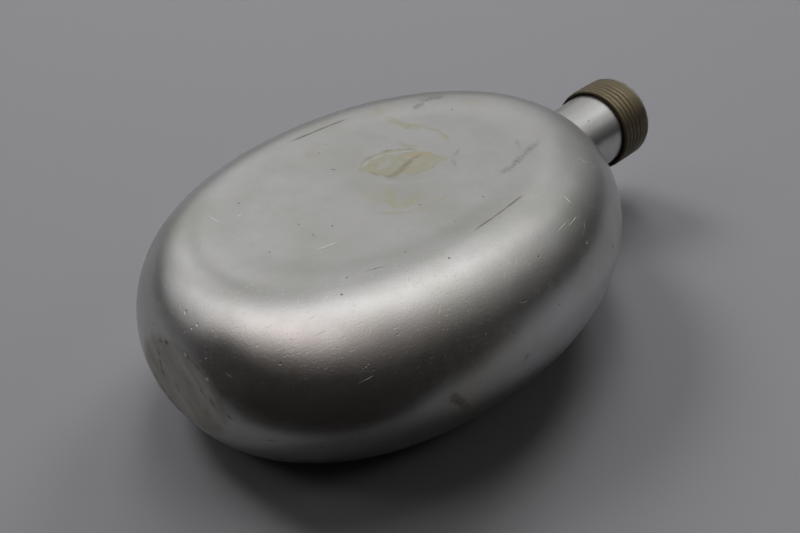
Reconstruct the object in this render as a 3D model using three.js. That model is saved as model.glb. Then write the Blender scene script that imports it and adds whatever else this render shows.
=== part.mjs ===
import * as THREE from 'three';

// Camping fuel bottle: a flat oval flask of drawn aluminium, a threaded ring on its neck and a
// ribbed screw cap with its sealing disc. Millimetres, +Z up. The bottle lies on its flat side
// with the neck along +X. The origin is on the surface that it lies on, under its middle.

// Body, where every length along the bottle starts at the flat foot
const bodyLength = 152.5;
const bodyWidth = 112;
const bodyThickness = 52;
const widestFromFoot = 75.5;
const footDepth = 1.6;
const bodyWall = 1;
const footEndPower = 2.15;
const neckEndPower = 2;

// Flat oval faces between the rounded sides
const faceLength = 108;
const faceWidth = 66;
const faceFromFoot = 72.5;
const faceDish = 0.5;
const dishEdge = 7;

// Neck, from where the shoulder would end to the step that the threaded ring seats on
const neckRadius = 12;
const neckLength = 19.6;
const neckWall = 1.2;
const shoulderBlend = 6;
const seatRadius = 11.2;
const seatStep = 0.6;
const lipHeight = 1.2;
const lipRounding = 0.4;

// Threaded ring and the thread that it shares with the cap
const ringLength = 8.6;
const threadPitch = 2;
const threadRadius = 13;
const threadDepth = 0.65;
const threadFade = 1;
const threadClearance = 0.3;

// Screw cap
const capLength = 14.2;
const capSheet = 0.7;
const capTop = 0.8;
const capRounding = 2;
const capRibDepth = 0.3;
const capRibbedLength = 11.2;
const capThreadLength = 10.3;

// Sealing disc
const gasketThickness = 1.8;
const gasketSideGap = 0.8;

// Gap that pieces keep where they touch
const touchGap = 0.3;

// How finely the round forms are cut
const bodySegments = 64;
const bodyStations = 15;
const liningStations = 11;
const threadSegments = 40;
const stationsPerTurn = 5;
const roundingSteps = 4;
const solveSteps = 40;

// Places along the bottle
const seatStart = bodyLength + neckLength;
const ringStart = seatStart + touchGap;
const ringEnd = ringStart + ringLength;
const lipStart = ringEnd + touchGap;
const lipEnd = lipStart + lipHeight;
const gasketStart = lipEnd + touchGap;
const gasketEnd = gasketStart + gasketThickness;
const capCeiling = gasketEnd + touchGap;
const capEnd = capCeiling + capTop;
const capStart = capEnd - capLength;

// Radii that follow from the pieces that carry them
const neckBore = neckRadius - neckWall;
const seatBore = seatRadius - neckWall;
const ringBore = seatRadius + touchGap;
const threadRoot = threadRadius - threadDepth;
const capBore = threadRadius + threadClearance;
const capRadius = capBore + capSheet;
const gasketRadius = capBore - gasketSideGap;

// Half width of the body at a place along it and a height over or under its axis
function halfWidthAt(along, height, inset) {
  const halfThickness = bodyThickness / 2 - inset;
  const bulge = Math.sqrt(Math.max(0, 1 - (height / halfThickness) ** 2));
  const middle = THREE.MathUtils.lerp(faceFromFoot, widestFromFoot, bulge);
  const onFootSide = along < middle;
  const endReach = onFootSide ? widestFromFoot + footDepth : bodyLength - widestFromFoot;
  const reach = THREE.MathUtils.lerp(faceLength / 2, endReach - inset, bulge);
  const breadth = THREE.MathUtils.lerp(faceWidth / 2, bodyWidth / 2 - inset, bulge);
  const power = onFootSide ? footEndPower : neckEndPower;
  const away = Math.abs(along - middle) / reach;
  return away < 1 ? breadth * (1 - away ** power) ** (1 / power) : 0;
}

// Distance from the axis to the body's surface, found by halving
function bodyRadiusAt(along, angle, inset) {
  let inside = 0;
  let outside = Math.max(bodyWidth, bodyThickness);
  for (let step = 0; step < solveSteps; step += 1) {
    const middle = (inside + outside) / 2;
    const height = middle * Math.abs(Math.sin(angle));
    const fits = height < bodyThickness / 2 - inset
      && middle * Math.abs(Math.cos(angle)) < halfWidthAt(along, height, inset);
    if (fits) {
      inside = middle;
    } else {
      outside = middle;
    }
  }
  return inside;
}

// The larger of two radii, rounded over where they come within the blend of each other
function blendedRadius(first, second, blend) {
  const closeness = Math.max(blend - Math.abs(first - second), 0) / blend;
  return Math.max(first, second) + (closeness ** 2 * blend) / 4;
}

// How far the upper flat face is sunk at a point
function dishAt(along, side) {
  const fromMiddle = Math.hypot((along - faceFromFoot) / (faceLength / 2), side / (faceWidth / 2));
  const fromEdge = ((1 - fromMiddle) * faceWidth) / 2;
  return faceDish * THREE.MathUtils.smoothstep(fromEdge, 0, dishEdge);
}

// Height of the thread at a point, from 0 in its root to 1 on its crest, for a right-hand thread
function threadWave(along, angle) {
  return 0.5 + 0.5 * Math.cos((2 * Math.PI * (along - ringStart)) / threadPitch - angle);
}

// Evenly spaced stations from one place to another, both ends included
function stationsBetween(start, end, steps, radius) {
  return Array.from({ length: steps + 1 }, (unused, step) => ({
    along: THREE.MathUtils.lerp(start, end, step / steps),
    radius,
  }));
}

// A quarter round from one angle to another about a centre in the plane of the profile
function roundStations(centreAlong, centreRadius, rounding, startAngle, endAngle) {
  return Array.from({ length: roundingSteps + 1 }, (unused, step) => {
    const turn = THREE.MathUtils.lerp(startAngle, endAngle, step / roundingSteps);
    return {
      along: centreAlong + rounding * Math.sin(turn),
      radius: centreRadius + rounding * Math.cos(turn),
    };
  });
}

// Places from the foot to the shoulder's end, closer together towards both ends
function bodyPlaces(start, end, count) {
  const footReach = widestFromFoot - start;
  const neckReach = end - widestFromFoot;
  const footSide = Array.from({ length: count }, (unused, step) => (
    widestFromFoot - footReach * Math.cos((step / count) * (Math.PI / 2))
  ));
  const neckSide = Array.from({ length: count + 1 }, (unused, step) => (
    widestFromFoot + neckReach * Math.sin((step / count) * (Math.PI / 2))
  ));
  return [...footSide, ...neckSide];
}

// A closed solid about the neck's axis: each station has a place along the axis and a radius,
// which may be a function of the place and the angle
function solidAboutAxis(stations, segments) {
  const profile = stations.map(({ along, radius }) => new THREE.Vector2(radius === 0 ? 0 : 1, along));
  const solid = new THREE.LatheGeometry(profile, segments);
  const corners = solid.attributes.position;
  for (let index = 0; index < corners.count; index += 1) {
    const { along, radius, sink } = stations[index % stations.length];
    const column = Math.floor(index / stations.length) % segments;
    const angle = (2 * Math.PI * column) / segments;
    const reach = typeof radius === 'function' ? radius(along, angle) : radius;
    const side = reach * Math.cos(angle);
    const height = reach * Math.sin(angle);
    const lowered = sink && height > 0 ? dishAt(along, side) : 0;
    corners.setXYZ(index, along, side, height - lowered);
  }
  solid.computeVertexNormals();
  return solid;
}

// Bottle shell: the hollow body, its neck, the seat for the ring and the lip rolled over the ring
function bottleShell() {
  const outer = (along, angle) => (
    blendedRadius(bodyRadiusAt(along, angle, 0), neckRadius, along > widestFromFoot ? shoulderBlend : 1)
  );
  const inner = (along, angle) => (
    blendedRadius(bodyRadiusAt(along, angle, bodyWall), neckBore, along > widestFromFoot ? shoulderBlend : 1)
  );
  const outerPlaces = bodyPlaces(0, bodyLength, bodyStations);
  const innerPlaces = bodyPlaces(bodyWall, bodyLength - bodyWall, liningStations).reverse();
  const stations = [
    { along: 0, radius: 0 },
    ...outerPlaces.map((along) => ({ along, radius: outer, sink: true })),
    { along: seatStart, radius: neckRadius },
    { along: seatStart, radius: seatRadius },
    { along: lipStart, radius: seatRadius },
    { along: lipStart, radius: threadRoot },
    ...roundStations(lipEnd - lipRounding, threadRoot - lipRounding, lipRounding, 0, Math.PI / 2),
    { along: lipEnd, radius: seatBore },
    { along: seatStart + seatStep, radius: seatBore },
    { along: seatStart - seatStep, radius: neckBore },
    ...innerPlaces.map((along) => ({ along, radius: inner, sink: true })),
    { along: bodyWall, radius: 0 },
  ];
  return solidAboutAxis(stations, bodySegments);
}

// Threaded ring: seats on the neck's step and carries the thread that the cap screws on to
function threadedRing() {
  const fade = (along) => (
    THREE.MathUtils.smoothstep(along, ringStart, ringStart + threadFade)
    * (1 - THREE.MathUtils.smoothstep(along, ringEnd - threadFade, ringEnd))
  );
  const threaded = (along, angle) => threadRoot + threadDepth * threadWave(along, angle) * fade(along);
  const steps = Math.round((ringLength / threadPitch) * stationsPerTurn);
  const stations = [
    { along: ringStart, radius: ringBore },
    ...stationsBetween(ringStart, ringEnd, steps, threaded),
    { along: ringEnd, radius: ringBore },
    { along: ringStart, radius: ringBore },
  ];
  return solidAboutAxis(stations, threadSegments);
}

// Screw cap: a round-edged top and a skirt with the thread rolled into it, so that it shows
// as ribs on the outside
function screwCap() {
  const threadEnd = capStart + capThreadLength;
  const ribbedEnd = capStart + capRibbedLength;
  const threadFadeIn = (along) => 1 - THREE.MathUtils.smoothstep(along, threadEnd - threadFade, threadEnd);
  const ribFadeIn = (along) => 1 - THREE.MathUtils.smoothstep(along, ribbedEnd - threadFade, ribbedEnd);
  const threaded = (along, angle) => (
    capBore - threadDepth * (1 - threadWave(along, angle)) * threadFadeIn(along)
  );
  const ribbed = (along, angle) => (
    capRadius - capRibDepth * (1 - threadWave(along, angle)) * ribFadeIn(along)
  );
  const threadSteps = Math.round((capThreadLength / threadPitch) * stationsPerTurn);
  const ribSteps = Math.round((capRibbedLength / threadPitch) * stationsPerTurn);
  const innerRounding = capRounding - capSheet;
  const stations = [
    { along: capCeiling, radius: 0 },
    ...roundStations(capCeiling - innerRounding, capBore - innerRounding, innerRounding, Math.PI / 2, 0),
    ...stationsBetween(threadEnd, capStart, threadSteps, threaded),
    ...stationsBetween(capStart, ribbedEnd, ribSteps, ribbed),
    ...roundStations(capEnd - capRounding, capRadius - capRounding, capRounding, 0, Math.PI / 2),
    { along: capEnd, radius: 0 },
  ];
  return solidAboutAxis(stations, threadSegments);
}

// Sealing disc: lies in the top of the cap and is pressed on the lip
function capGasket() {
  return solidAboutAxis([
    { along: gasketStart, radius: 0 },
    { along: gasketStart, radius: gasketRadius },
    { along: gasketEnd, radius: gasketRadius },
    { along: gasketEnd, radius: 0 },
  ], threadSegments);
}

// One named mesh with its own finish
function piece(name, geometry, color, roughness, metalness) {
  const mesh = new THREE.Mesh(geometry, new THREE.MeshStandardMaterial({ color, roughness, metalness }));
  mesh.name = name;
  return mesh;
}

const group = new THREE.Group();
group.position.set(-capEnd / 2, 0, bodyThickness / 2);
group.add(
  piece('bottle_shell', bottleShell(), 0xb4b3ac, 0.42, 1),
  piece('threaded_neck_ring', threadedRing(), 0x94794a, 0.38, 1),
  piece('screw_cap', screwCap(), 0x6e6250, 0.4, 1),
  piece('cap_gasket', capGasket(), 0x33302c, 0.85, 0),
);

export default group;
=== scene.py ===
"""Visual model of a flat oval camping fuel bottle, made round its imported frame.

Lengths are in metres unless a name says otherwise. The bottle lies on its flat side with its neck
along +X, and the origin is on the surface that it lies on, under its middle.
"""

from __future__ import annotations

import logging
import math
from abc import ABC, abstractmethod
from collections.abc import Callable, Mapping, Sequence
from dataclasses import dataclass, field
from enum import Enum
from functools import cached_property, partial, reduce
from operator import add
from typing import Any, Union

import bpy
import numpy as np
from mathutils import Matrix, Vector, noise


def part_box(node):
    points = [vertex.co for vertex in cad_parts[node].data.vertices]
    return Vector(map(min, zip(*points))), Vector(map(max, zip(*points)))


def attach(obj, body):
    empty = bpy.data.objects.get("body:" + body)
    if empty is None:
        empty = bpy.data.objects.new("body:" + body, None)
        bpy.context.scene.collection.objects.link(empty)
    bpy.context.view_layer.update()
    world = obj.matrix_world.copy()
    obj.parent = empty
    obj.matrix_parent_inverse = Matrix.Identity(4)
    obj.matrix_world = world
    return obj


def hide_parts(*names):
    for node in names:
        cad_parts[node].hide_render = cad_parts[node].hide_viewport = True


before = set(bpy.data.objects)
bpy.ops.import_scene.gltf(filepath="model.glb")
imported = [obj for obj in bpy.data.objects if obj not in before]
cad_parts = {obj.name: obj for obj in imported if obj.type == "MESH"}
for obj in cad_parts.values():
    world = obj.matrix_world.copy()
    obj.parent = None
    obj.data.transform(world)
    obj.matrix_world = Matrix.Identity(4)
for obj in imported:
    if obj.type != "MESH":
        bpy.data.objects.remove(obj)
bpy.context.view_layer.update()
MILLIMETRE = 0.001
UPPER_FACE_MM = 51.5
TOUCH_GAP = 0.0003
FIRST_CREST = 0.001
LOG = logging.getLogger("fuel_bottle")

Colour = tuple[float, float, float]
Point = tuple[float, float, float]
Number = Union["Value", float]
Socket = bpy.types.NodeSocket
Piece = bpy.types.Object


class Body(Enum):
    """The bodies that the pieces ride on."""

    BOTTLE = "bottle"
    SEAL = "seal"
    CAP = "cap"


class Finish(Enum):
    """The record's material slots."""

    ALUMINIUM = "aluminium"
    RING_BRASS = "ring_brass"
    CAP_BRASS = "cap_brass"
    RUBBER = "gasket_rubber"


class Overlap(Enum):
    """What marks do where they overlap, as a Math node's operation."""

    RUN_TOGETHER = "ADD"
    KEEP_STRONGEST = "MAXIMUM"


def mix(first: Any, second: Any, share: Any) -> Any:
    """Return the value that lies a share of the way from the first to the second."""
    return first + (second - first) * share


def smooth_step(value: Any, low: float, high: float) -> Any:
    """Return 0 below low and 1 above high, with a smooth rise between them."""
    share = np.clip((value - low) / (high - low), 0, 1)
    return share * share * (3 - 2 * share)


def blended(first: Any, second: float, blend: float) -> Any:
    """Return the larger value, rounded over where the two come within the blend of each other."""
    closeness = np.clip(blend - np.abs(first - second), 0, None) / blend
    return np.maximum(first, second) + closeness**2 * blend / 4


def opaque(colour: Colour) -> tuple[float, float, float, float]:
    """Return a colour with full alpha, as colour sockets take it."""
    return (*colour, 1.0)


class Value:
    """A number that varies over a surface, on which Python's operators add Math nodes."""

    def __init__(self, graph: Graph, socket: Socket) -> None:
        """Keep the graph and the output socket that carries the number."""
        self.graph = graph
        self.socket = socket

    def __add__(self, other: Number) -> Value:
        """Return the sum."""
        return self.graph.math("ADD", self, other)

    __radd__ = __add__

    def __sub__(self, other: Number) -> Value:
        """Return the difference."""
        return self.graph.math("SUBTRACT", self, other)

    def __rsub__(self, other: Number) -> Value:
        """Return the difference from a plain number."""
        return self.graph.math("SUBTRACT", other, self)

    def __mul__(self, other: Number) -> Value:
        """Return the product."""
        return self.graph.math("MULTIPLY", self, other)

    __rmul__ = __mul__

    def larger(self, other: Number) -> Value:
        """Return the larger of this value and another."""
        return self.graph.math("MAXIMUM", self, other)

    def rise(self, low: float, high: float) -> Value:
        """Turn the number into a share that rises smoothly with it.

        Args:
            low: Where the share is still 0.
            high: Where the share has come to 1.

        Returns:
            The share.
        """
        sockets = {"Value": self, "From Min": low, "From Max": high}
        node = self.graph.add("ShaderNodeMapRange", {"interpolation_type": "SMOOTHSTEP"}, sockets)
        return Value(self.graph, node.outputs[0])


class Graph:
    """A node tree and the few ways in which this file adds nodes to it."""

    def __init__(self, tree: bpy.types.NodeTree) -> None:
        """Empty the tree."""
        self.tree = tree
        self.tree.nodes.clear()

    def add(
        self,
        kind: str,
        settings: Mapping[str, Any] | None = None,
        sockets: Mapping[str | int, Any] | None = None,
    ) -> bpy.types.Node:
        """Add one node.

        Args:
            kind: The node's type.
            settings: Its properties, which are set first.
            sockets: What its inputs hold or are linked to, by name or by index.

        Returns:
            The node.
        """
        node = self.tree.nodes.new(kind)
        for name, setting in (settings or {}).items():
            setattr(node, name, setting)
        for name, given in (sockets or {}).items():
            socket = node.inputs[name] if isinstance(name, int) else self.in_use(node.inputs, name)
            source = given.socket if isinstance(given, Value) else given
            if isinstance(source, Socket):
                self.tree.links.new(source, socket)
            else:
                socket.default_value = source
        return node

    @staticmethod
    def in_use(sockets: bpy.types.bpy_prop_collection, name: str) -> Socket:
        """Return the socket of that name which the node's settings leave in use."""
        return next(socket for socket in sockets if socket.enabled and socket.name == name)

    def math(self, operation: str, *values: Number) -> Value:
        """Return the result of a Math node on the values."""
        node = self.add("ShaderNodeMath", {"operation": operation}, dict(enumerate(values)))
        return Value(self, node.outputs[0])

    def vector(self, operation: str, *values: Any) -> Socket:
        """Return the vector that a Vector Math node gives for the values."""
        node = self.add("ShaderNodeVectorMath", {"operation": operation}, dict(enumerate(values)))
        return node.outputs["Vector"]

    def dot(self, first: Any, second: Any) -> Value:
        """Return the dot product of two vectors."""
        node = self.add("ShaderNodeVectorMath", {"operation": "DOT_PRODUCT"}, {0: first, 1: second})
        return Value(self, node.outputs["Value"])

    def parts(self, vector: Socket) -> tuple[Value, ...]:
        """Return a vector's three components."""
        node = self.add("ShaderNodeSeparateXYZ", {}, {0: vector})
        return tuple(Value(self, socket) for socket in node.outputs)

    def tint(self, share: Number, first: Any, second: Any, blend: str = "MIX") -> Socket:
        """Mix two colours.

        Args:
            share: The second colour's share, which may vary over the surface.
            first: A colour or a colour socket.
            second: A colour or a colour socket.
            blend: How the Mix node blends them.

        Returns:
            The mixed colour.
        """
        given = [opaque(colour) if isinstance(colour, tuple) else colour for colour in (first, second)]
        settings = {"data_type": "RGBA", "blend_type": blend}
        node = self.add("ShaderNodeMix", settings, {"Factor": share, "A": given[0], "B": given[1]})
        return self.in_use(node.outputs, "Result")

    def layered(self, colour: Any, *layers: tuple[Value, Colour]) -> Socket:
        """Return a colour with layers of other colours over it, each with its share, in order."""
        return reduce(lambda under, layer: self.tint(layer[0], under, layer[1]), layers, colour)


@dataclass(frozen=True)
class Grain:
    """Soft noise: the size of its largest spots, how finely it is detailed and how strongly.

    Where it stands for spots, they rise from 0 to 1 between its limits.
    """

    size: float
    detail: float = 2.0
    roughness: float = 0.5
    limits: tuple[float, float] = (0.0, 1.0)


class Coat(Graph):
    """The nodes of a new material on a piece."""

    def __init__(self, name: str, piece: Piece) -> None:
        """Give the piece a new material, still empty.

        Args:
            name: The material's name.
            piece: The piece.
        """
        material = bpy.data.materials.new(name)
        material.use_nodes = True
        piece.data.materials.append(material)
        super().__init__(material.node_tree)
        self.piece = piece

    @cached_property
    def place(self) -> Socket:
        """The place on the piece, in the frame at rest."""
        return self.add("ShaderNodeTexCoord").outputs["Object"]

    def stretched(self, turn: Point, squeeze: Point) -> Socket:
        """Turn the place about the origin and then squeeze it.

        Args:
            turn: How far it is turned about each axis.
            squeeze: What each axis is multiplied by, so that a pattern is long where this is small.

        Returns:
            The new place.
        """
        sockets = {"Vector": self.place, "Rotation": turn}
        node = self.add("ShaderNodeVectorRotate", {"rotation_type": "EULER_XYZ"}, sockets)
        return self.vector("MULTIPLY", node.outputs[0], squeeze)

    def noise_node(self, grain: Grain, where: Socket | None = None) -> bpy.types.Node:
        """Return a node of that grain, at the place unless told otherwise."""
        sockets = {"Scale": 1 / grain.size, "Detail": grain.detail, "Roughness": grain.roughness}
        return self.add("ShaderNodeTexNoise", {}, {"Vector": where or self.place, **sockets})

    def noise(self, grain: Grain, where: Socket | None = None) -> Value:
        """Return noise from 0 to 1, at the place unless told otherwise."""
        return Value(self, self.noise_node(grain, where).outputs[0])

    def spots(self, grain: Grain, where: Socket | None = None) -> Value:
        """Return spots of noise, which rise from 0 to 1 between the grain's limits."""
        return self.noise(grain, where).rise(*grain.limits)

    def wandering(self, grain: Grain, reach: float) -> Socket:
        """Return the place moved at random by up to about a reach, as the grain's spots go."""
        centred = self.vector("SUBTRACT", self.noise_node(grain).outputs[1], (0.5, 0.5, 0.5))
        return self.vector("MULTIPLY_ADD", centred, (2 * reach,) * 3, self.place)

    def marked(self, marks: Sequence[Mark], full: float, where: Socket, overlap: Overlap) -> Value:
        """Return 0 outside several marks, with a smooth rise to 1 where their strength is full."""
        masks = [mark.mask(self, where) for mark in marks]
        return reduce(partial(self.math, overlap.value), masks).rise(0.0, full)

    def finish(
        self, colour: Any, roughness: Any, metallic: Any, height: Value, relief: float, ior: float
    ) -> None:
        """End the nodes in a Principled shader with a bumped surface.

        Args:
            colour: Base colour, or a socket that gives it.
            roughness: Roughness, or what gives it.
            metallic: Metallic, or what gives it.
            height: Height of the relief, where 1 stands for the whole relief.
            relief: The relief's depth in metres.
            ior: Index of refraction.
        """
        bump = self.add("ShaderNodeBump", {}, {"Strength": 1.0, "Distance": relief, "Height": height})
        sockets = {
            "Base Color": colour,
            "Roughness": roughness,
            "Metallic": metallic,
            "Normal": bump.outputs[0],
            "IOR": ior,
        }
        shader = self.add("ShaderNodeBsdfPrincipled", {}, sockets)
        self.add("ShaderNodeOutputMaterial", {}, {"Surface": shader.outputs[0]})


@dataclass(frozen=True)
class Flecks:
    """Scattered flecks: how far apart they lie, their radius and the share of them that show.

    They are turned about each axis, and long along an axis where their squeeze is small.
    """

    spacing: float
    radius: float
    share: float
    turn: Point = (0.0, 0.0, 0.0)
    squeeze: Point = (1.0, 1.0, 1.0)

    def mask(self, coat: Coat) -> Value:
        """Work out where the flecks are.

        Args:
            coat: The material's nodes.

        Returns:
            1 in the middle of each fleck that shows, and 0 outside them.
        """
        sockets = {"Vector": coat.stretched(self.turn, self.squeeze), "Scale": 1 / self.spacing}
        cells = coat.add("ShaderNodeTexVoronoi", {}, sockets)
        chosen = coat.parts(cells.outputs["Color"])[0]
        near = 1 - Value(coat, cells.outputs["Distance"]) * (self.spacing / self.radius)
        return near.rise(0.0, 0.6) * chosen.rise(0.99 - self.share, 1 - self.share)


@dataclass(frozen=True)
class Mark:
    """A stain, scratch or pit: a spot on the surface from one place to another.

    Places and lengths are in millimetres in the frame. A mark reaches into the metal, the more the
    longer it is, so that a curved surface stays in it.
    """

    start: Point
    end: Point
    width: float
    strength: float
    reach_in: float = 0.6
    sag: float = 0.006

    def mask(self, coat: Coat, where: Socket) -> Value:
        """Work out where the mark is.

        Args:
            coat: The nodes of the material of the piece that carries the mark.
            where: The place on the piece.

        Returns:
            0 outside the mark, rising to its strength along its middle.
        """
        start, end, half_width = Vector(self.start), Vector(self.end), self.width / 2
        _, middle, normal, _ = coat.piece.closest_point_on_mesh((start + end) / 2 * MILLIMETRE)
        along = end - start
        depth = half_width + self.reach_in + self.sag * along.length**2
        size = Vector((along.length / 2 + half_width, half_width, depth)) * MILLIMETRE
        along -= normal * along.dot(normal)
        if along.length < half_width:
            along = normal.orthogonal()
        along.normalize()
        turn = Matrix((along, normal.cross(along), normal)).transposed().to_euler()
        sockets = {"Vector": where, "Location": middle, "Rotation": turn, "Scale": size}
        local = coat.add("ShaderNodeMapping", {"vector_type": "TEXTURE"}, sockets)
        ball = coat.add("ShaderNodeTexGradient", {"gradient_type": "SPHERICAL"}, {0: local.outputs[0]})
        return Value(coat, ball.outputs[1]) * self.strength


def strokes(*given: tuple[Any, ...]) -> tuple[Mark, ...]:
    """Return the marks of strokes that go from place to place.

    Args:
        given: For each stroke its width, its strength and its places. A place of two numbers lies
            on the upper face.

    Returns:
        The marks, one between each place and the next.
    """
    marks = []
    for width, strength, *places in given:
        corners = [place if len(place) == 3 else (*place, UPPER_FACE_MM) for place in places]
        marks += [Mark(start, end, width, strength) for start, end in zip(corners, corners[1:])]
    return tuple(marks)


GLUE_FILM = strokes(
    (14.6, 1.0, (-14.6, 6.0), (-7.8, 1.2)),
    (5.0, 0.5, (-20.6, 8.5), (-14.0, 8.5)),
    (4.0, 0.5, (-6.0, 0.0), (-2.0, -3.6)),
)
GLUE_BARE = strokes(
    (3.6, 0.9, (-18.0, 5.6), (-12.8, 6.2)),
    (2.4, 0.8, (-13.2, -3.4), (-20.2, 1.6)),
    (3.0, 0.5, (-8.4, 4.2), (-7.2, 3.0)),
)
GLUE_STREAK = strokes(
    (3.8, 0.85, (-19.4, 0.2), (-14.0, 0.6), (-9.6, 1.8)),
    (2.2, 0.9, (-11.6, 1.6), (-7.4, 2.6), (-3.6, 2.2)),
    (1.6, 0.7, (-20.8, 6.4), (-19.6, 2.6), (-18.0, 0.0)),
)
GLUE_RIM = strokes(
    (1.5, 0.9, (-18.6, 11.8), (-12.0, 12.0), (-6.6, 9.4), (-2.6, 4.8)),
    (1.0, 0.7, (-20.9, 6.6), (-20.6, 2.0), (-16.8, -2.4), (-10.1, -4.4)),
    (0.9, 0.7, (-10.1, -4.4), (-3.0, -4.3)),
)
RUST_TINT = strokes(
    (2.8, 1.0, (-8.0, 4.6), (-5.4, 3.6), (-1.6, 0.2)),
    (1.4, 0.7, (-13.5, -1.0), (-11.5, -1.8)),
)
STAINS = strokes(
    (4.6, 1.0, (4.8, 23.4, 51.6), (4.6, 17.0), (8.1, 12.3)),
    (2.4, 0.8, (8.1, 12.3), (9.2, 6.9), (7.0, 1.3)),
    (3.4, 0.8, (-2.8, 12.6), (-3.6, 7.0)),
    (2.2, 0.7, (-3.4, 9.0), (-0.4, 4.4)),
    (7.5, 0.55, (-27.7, 0.6), (-28.7, -7.0)),
    (3.6, 0.95, (-22.7, -2.7), (-28.3, -10.3)),
    (6.0, 0.7, (-28.9, -11.4), (-20.6, -12.3)),
    (1.8, 1.0, (-33.1, -9.9), (-28.8, -14.6), (-21.7, -17.5)),
    (2.0, 0.5, (-21.7, -17.5), (-14.0, -17.0)),
    (8.0, 0.35, (-30.0, 24.0, 51.6), (-18.0, 28.0, 51.7)),
    (9.0, 0.4, (-1.0, 30.0, 51.8), (12.0, 27.0, 51.9)),
    (7.0, 0.4, (31.0, 6.0, 51.4), (28.0, 14.0)),
)
PALE_LINES = strokes(
    (1.2, 1.0, (-20.4, 9.6), (-16.0, 10.6), (-11.0, 9.8), (-6.4, 7.2)),
    (1.0, 1.0, (-8.4, 8.4), (-3.6, 5.0), (0.6, 0.4)),
    (0.7, 0.8, (-1.0, 1.4), (2.3, -3.5)),
    (2.8, 0.5, (-22.6, 2.5), (-18.5, -5.0), (-8.8, -10.3)),
)
DARK_SCUFFS = strokes(
    (3.2, 0.9, (3.7, -20.3), (8.0, -20.3), (14.6, -19.2, 51.7), (22.7, -17.9, 51.9)),
    (5.0, 0.7, (20.0, 24.4, 51.9), (26.0, 21.6, 51.8)),
    (3.0, 0.5, (20.8, -11.5, 51.6), (16.2, -16.6, 51.6)),
    (3.0, 0.9, (13.5, 21.2, 51.8), (19.6, 22.8, 51.9), (25.9, 20.2, 51.7)),
    (1.6, 0.7, (-2.9, -9.1), (0.6, -5.4), (6.3, -3.0)),
)
DARK_LINES = strokes(
    (0.7, 0.9, (-24.8, -33.3, 51.8), (-12.8, -32.9, 51.9), (-0.8, -31.9, 51.9)),
    (0.6, 0.8, (-19.0, -33.2, 51.8), (-6.6, -32.5, 51.9)),
    (0.6, 0.6, (-54.6, -24.9, 51.9), (-48.0, -27.8, 51.9)),
    (1.3, 0.75, (-26.0, 34.1, 51.7), (-13.1, 33.0, 51.8), (-3.0, 31.6, 51.9)),
    (1.2, 0.7, (-20.0, 33.6, 51.7), (-7.0, 32.3, 51.8)),
    (0.6, 0.8, (-26.6, 15.3), (-25.9, 13.8)),
    (0.5, 0.5, (-50.9, -3.2), (-51.9, -6.0)),
    (0.7, 0.9, (17.2, -48.5, 34.4), (18.2, -48.8, 32.0)),
    (0.9, 0.9, (-27.1, -51.3, 41.1), (-24.8, -51.7, 40.6)),
    (0.6, 0.6, (-87.5, -24.3, 20.2), (-86.3, -26.6, 20.9)),
    (0.6, 0.6, (-79.7, -33.9, 19.0), (-78.6, -34.7, 18.1)),
    (0.6, 0.6, (-50.4, -49.7, 15.9), (-47.6, -50.5, 15.8)),
)
SPOTS = strokes(
    (2.0, 0.9, (-15.6, -51.8, 40.6), (-15.2, -52.2, 39.8)),
    (3.4, 0.7, (-33.8, -52.2, 38.3), (-33.2, -52.2, 38.3)),
    (2.6, 0.6, (-29.0, -55.4, 26.7), (-28.0, -55.4, 26.7)),
    (4.2, 0.8, (-51.6, -51.1, 26.7), (-49.2, -51.7, 23.4), (-46.3, -51.8, 19.5)),
    (1.7, 1.0, (-92.8, 4.6, 37.0), (-92.8, 3.6, 37.4)),
    (1.1, 0.9, (-92.6, 7.3, 36.0), (-92.6, 6.3, 36.4)),
    (1.3, 0.7, (-92.5, -2.2, 37.9), (-92.5, -6.0, 37.0), (-92.5, -8.8, 35.6)),
    (1.5, 1.0, (-92.8, 8.1, 32.0), (-92.8, 7.8, 31.2)),
    (1.3, 0.9, (-92.8, 7.9, 30.0), (-92.8, 8.1, 27.2), (-92.8, 7.2, 24.6)),
    (1.2, 0.6, (-92.8, 2.6, 26.4), (-92.8, 1.4, 22.6)),
    (1.0, 0.6, (-92.8, -2.0, 30.6), (-92.8, -4.6, 28.2)),
    (1.5, 0.8, (-92.8, -8.2, 30.2), (-92.8, -8.8, 29.2)),
    (2.4, 0.6, (-92.7, -11.8, 29.2), (-92.7, -12.6, 27.2)),
    (1.0, 0.6, (-92.8, -8.2, 23.6), (-92.8, -10.4, 22.0)),
    (1.2, 0.9, (-91.6, -16.3, 26.4), (-91.4, -17.4, 25.2)),
    (1.0, 0.9, (-92.7, 12.4, 23.4), (-92.8, 10.5, 20.4), (-92.8, 7.9, 18.4)),
    (0.9, 0.9, (-92.8, 7.9, 18.4), (-92.8, 5.4, 16.8), (-92.8, 2.4, 15.7)),
)
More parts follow.
